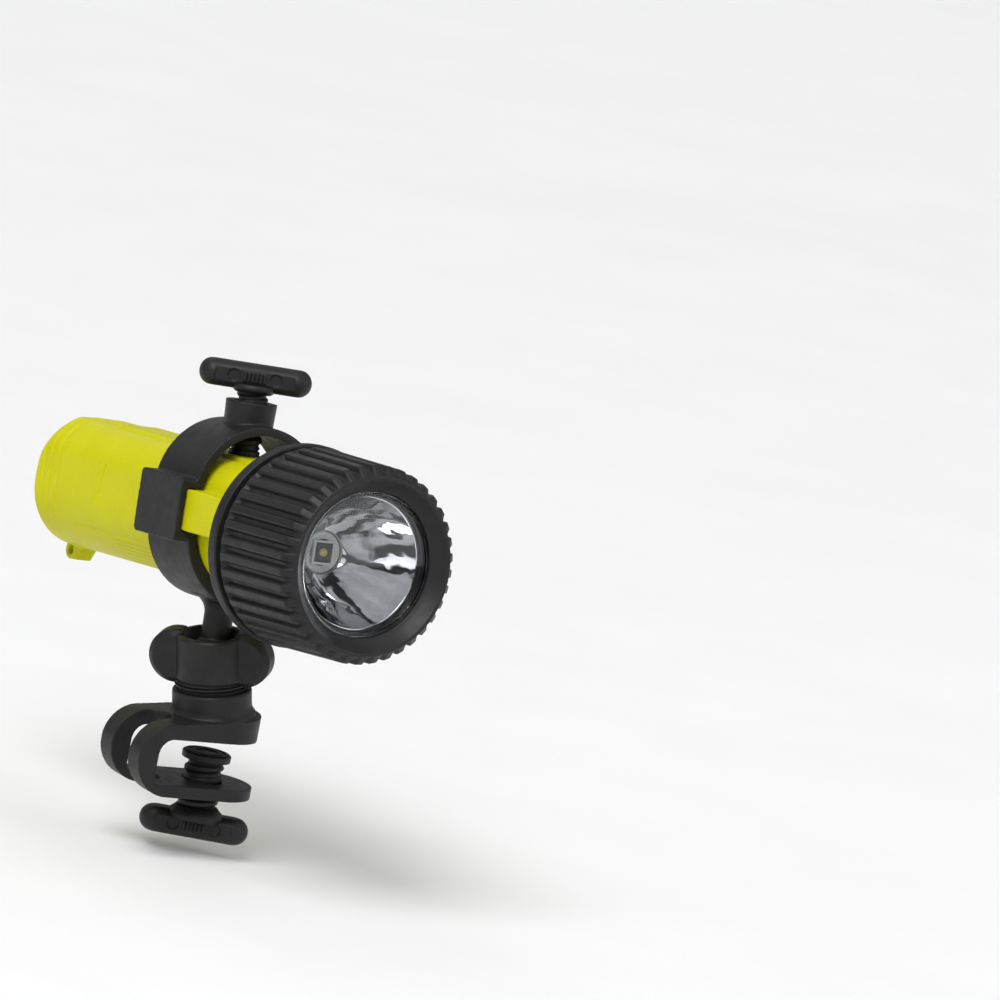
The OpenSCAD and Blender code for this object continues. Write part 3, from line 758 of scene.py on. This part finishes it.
def make_bezel():
    """Twist ring with rounded grip grooves that fade out before its rounded front, and a flange behind."""
    front, back = -4.0, 32.9
    groove_depth, groove_end, flange_front = 1.35, 27.4, 29.3

    def body_radius(z):
        return 25.0 + 0.3 * (z + 1) / 28

    side = [(body_radius(z), z) for z in np.linspace(0.6, 26.4, 66)]
    nose = rounded([
        (21.8, front, 0.4), (22.5, front, 0.8), (25.05, -1.2, 4.0), side[0]], 16, closed=False)[1:-1]
    inner_r, lip_r = 19.42, 18.3
    tail = rounded([
        side[-1], (body_radius(27), groove_end, 1.4), (23.7, groove_end, 0.3), (23.7, flange_front, 0.3),
        (25.6, flange_front, 0.5), (25.6, back, 0.7), (inner_r, back, 0.3), (inner_r, -0.05, 0.1),
        (lip_r, -0.3, 0.2)], 6, closed=False)[1:]
    bowl = []
    for i in range(14):
        t = i / 13
        bowl.append((lip_r + 0.25 + (21.8 - lip_r - 0.25) * t, -0.9 + (front + 0.9) * t ** 1.25))
    outline = nose + side + tail + bowl

    def grooved(radius, z, angle):
        if radius < 22.2 or z > 27.5 or (radius < 23.72 and z > 20):
            return radius
        phase = abs((angle * GRIP_RIBS / TAU) % 1 - 0.5) * 2
        groove = 1 - smoothstep(0.2, 0.62, phase)
        along = smoothstep(-3.8, -1.4, z + phase) * (1 - smoothstep(25.6, 27.6, z))
        deep = 1 - along * groove
        return radius - groove_depth * (1 - deep)

    verts, faces = lathe(outline, GRIP_RIBS * 20, grooved)
    finish_piece(mesh_object("bezel_grooved", verts, faces, LAMP), "bezel", "bezel_rubber", "bezel")


def make_lens_piece():
    """Clear window with a raised bead that fills the mouth of the bezel."""
    outline = rounded([
        (0, 0.05), (17.3, 0.05, 0.2), (17.6, -0.55, 0.15), (18.15, -0.55, 0.2), (18.2, 0.05, 0.1),
        (19.1, 0.05, 0.3), (19.1, 1.9, 0.3), (0, 1.9)], 5)
    finish_piece(turned("lens_window", outline, LAMP, 160), "bezel", "lens_clear", "lens")
    low, high = local_box("lens_seal", LAMP)
    section = rounded([
        (16.7, low[2], 0.3), (19.15, low[2], 0.3), (19.15, high[2], 0.3), (16.7, high[2], 0.3)], 4)
    verts, faces = lathe(section, 128)
    finish_piece(mesh_object("lens_seal_round", verts, faces, LAMP), "bezel", "seal_rubber", "lens_seal")


def make_reflector():
    """Mirrored paraboloid with a rolled rim and a hole for the emitter."""
    rim_r, hole_r, top, bottom = 16.5, 5.2, 3.05, 20.6
    focal = (rim_r ** 2 - hole_r ** 2) / (4 * (bottom - top))
    depths = np.linspace(0, 1, 60) ** 1.2 * (bottom - top)
    inner = [(math.sqrt(rim_r ** 2 - 4 * focal * d), top + d) for d in depths]
    outer = [(r + 0.9, z) for r, z in reversed(inner) if z > 4.3]
    rim = rounded([(17.6, 4.2), (18.6, 4.2, 0.2), (18.6, top, 0.2), (17.0, top, 0.3)], 3, closed=False)
    verts, faces = lathe(inner + outer + rim, 160)
    bowl = mesh_object("reflector_bowl", verts, faces, LAMP)
    finish_piece(bowl, "lamp_module", "reflector_mirror", "reflector")


def make_emitter():
    """Square emitter: pale rim, dark well and a small dome over a yellow die."""
    low, high = local_box("led_package", LAMP)
    face = high[2] - 1.05
    half = (high[0] - low[0]) / 2
    rim = box("led_package_square", (-half, -half, face), (half, half, high[2]), LAMP)
    cut(rim, [box("well", (0.5 - half, 0.5 - half, face - 1), (half - 0.5, half - 0.5, face + 0.35), LAMP)])
    dome = turned("dome", [(0, face + 0.4)] + [
        (1.1 * math.cos(math.pi / 2 * i / 10), face + 0.4 - 1.1 * math.sin(math.pi / 2 * i / 10))
        for i in range(11)], LAMP, 48)
    joined(rim, dome)
    rim.data.shade_flat()
    finish_piece(rim, "lamp_module", "led_ceramic", "led_package")
    well = box("led_well_plate", (0.55 - half, 0.55 - half, face + 0.26),
               (half - 0.55, half - 0.55, face + 0.34), LAMP)
    finish_piece(well, "lamp_module", "module_plastic")


def make_boards():
    """Emitter board with a pale cover ring, turned heat sink and driver board."""
    low, high = local_box("led_board", LAMP)
    board = turned("led_board_masked", rounded([
        (0, low[2]), (9, low[2], 0.15), (9, high[2], 0.15), (0, high[2])], 3), LAMP)
    finish_piece(board, "lamp_module", "board_green", "led_board")
    cover = turned("led_surround", rounded([
        (3.4, low[2] - 0.25), (5.15, low[2] - 0.25, 0.1), (5.15, low[2] - 0.02),
        (3.4, low[2] - 0.02)], 3), LAMP)
    finish_piece(cover, "lamp_module", "led_ceramic")
    low, high = local_box("heat_sink", LAMP)
    radius = high[0]
    sink = turned("heat_sink_turned", rounded([
        (0, low[2]), (radius - 5, low[2], 0.1), (radius - 4.6, low[2] + 0.25, 0.1),
        (radius - 3, low[2] + 0.25, 0.1), (radius - 2.6, low[2], 0.1), (radius, low[2], 0.2),
        (radius, high[2], 0.2), (0, high[2])], 3), LAMP, 128)
    finish_piece(sink, "lamp_module", "sink_aluminium", "heat_sink")
    low, high = local_box("driver_board", LAMP)
    radius = high[0]
    driver = turned("driver_board_masked", rounded([
        (0, low[2]), (radius, low[2], 0.15), (radius, high[2], 0.15), (0, high[2])], 3), LAMP)
    finish_piece(driver, "lamp_module", "board_green", "driver_board")


make_bezel()
make_lens_piece()
make_reflector()
make_emitter()
make_boards()
finish_piece(bevelled("module_housing", "module_housing_moulded", 0.15), "lamp_module", "module_plastic",
             "module_housing")
finish_piece(bevelled("front_contact", "front_contact_turned", 0.2), "lamp_module", "contact_brass",
             "front_contact")
finish_piece(bevelled("strip_contact", "strip_contact_bent", 0.1), "lamp_module", "contact_brass",
             "strip_contact")
